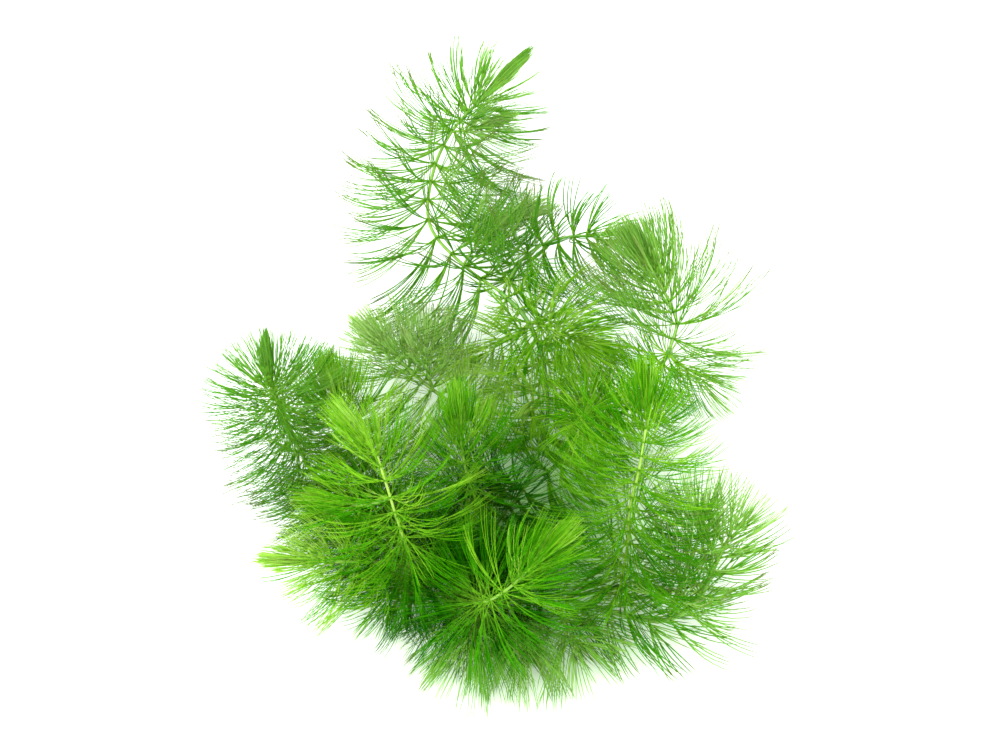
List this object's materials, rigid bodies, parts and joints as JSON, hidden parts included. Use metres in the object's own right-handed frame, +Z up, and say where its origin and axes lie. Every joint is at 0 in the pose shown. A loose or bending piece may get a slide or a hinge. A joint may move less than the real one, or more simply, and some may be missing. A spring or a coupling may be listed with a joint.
{
  "type": "hornwort",
  "caption": "Branching clump of hornwort lying on a surface: slender stems with rings of forked needle leaves and dense growing tips",
  "frame": {"origin": "on the surface that the clump lies on, under the middle of its bounding box", "axes": "+Z up, +Y from the front edge towards the end of the top shoot, +X to the right"},
  "size_m": [0.1668, 0.2108, 0.0809],
  "materials": {
    "bright_shoots": "satin",
    "green_shoots": "satin",
    "shaded_shoots": "satin",
    "pale_shoots": "satin"
  },
  "bodies": {
    "root": {"front_shoot": "bright_shoots", "left_front_shoot": "bright_shoots", "centre_right_shoot": "bright_shoots", "top_shoot": "green_shoots", "far_left_shoot": "green_shoots", "lower_right_shoot": "green_shoots", "right_shoot": "green_shoots", "centre_shoot": "bright_shoots", "lower_left_shoot": "bright_shoots", "right_side_shoot": "green_shoots", "back_left_shoot": "pale_shoots", "back_left_side_shoot": "pale_shoots", "middle_right_shoot": "green_shoots", "left_side_shoot": "bright_shoots", "back_shoot": "shaded_shoots", "top_lower_shoot": "green_shoots", "middle_left_shoot": "green_shoots", "top_side_bud": "green_shoots", "star_shoot": "green_shoots", "inner_right_shoot": "green_shoots", "upper_inner_branch": "shaded_shoots", "lower_inner_branch": "shaded_shoots", "dark_bud": "shaded_shoots", "front_edge_shoot_far_left": "green_shoots", "front_edge_shoot_left": "green_shoots", "front_edge_shoot_right": "green_shoots", "front_edge_shoot_far_right": "green_shoots", "main_stem": "green_shoots", "right_stem": "green_shoots", "lower_right_stem": "pale_shoots", "base_stem_left": "shaded_shoots", "base_stem_right": "shaded_shoots"}
  },
  "joints": []
}
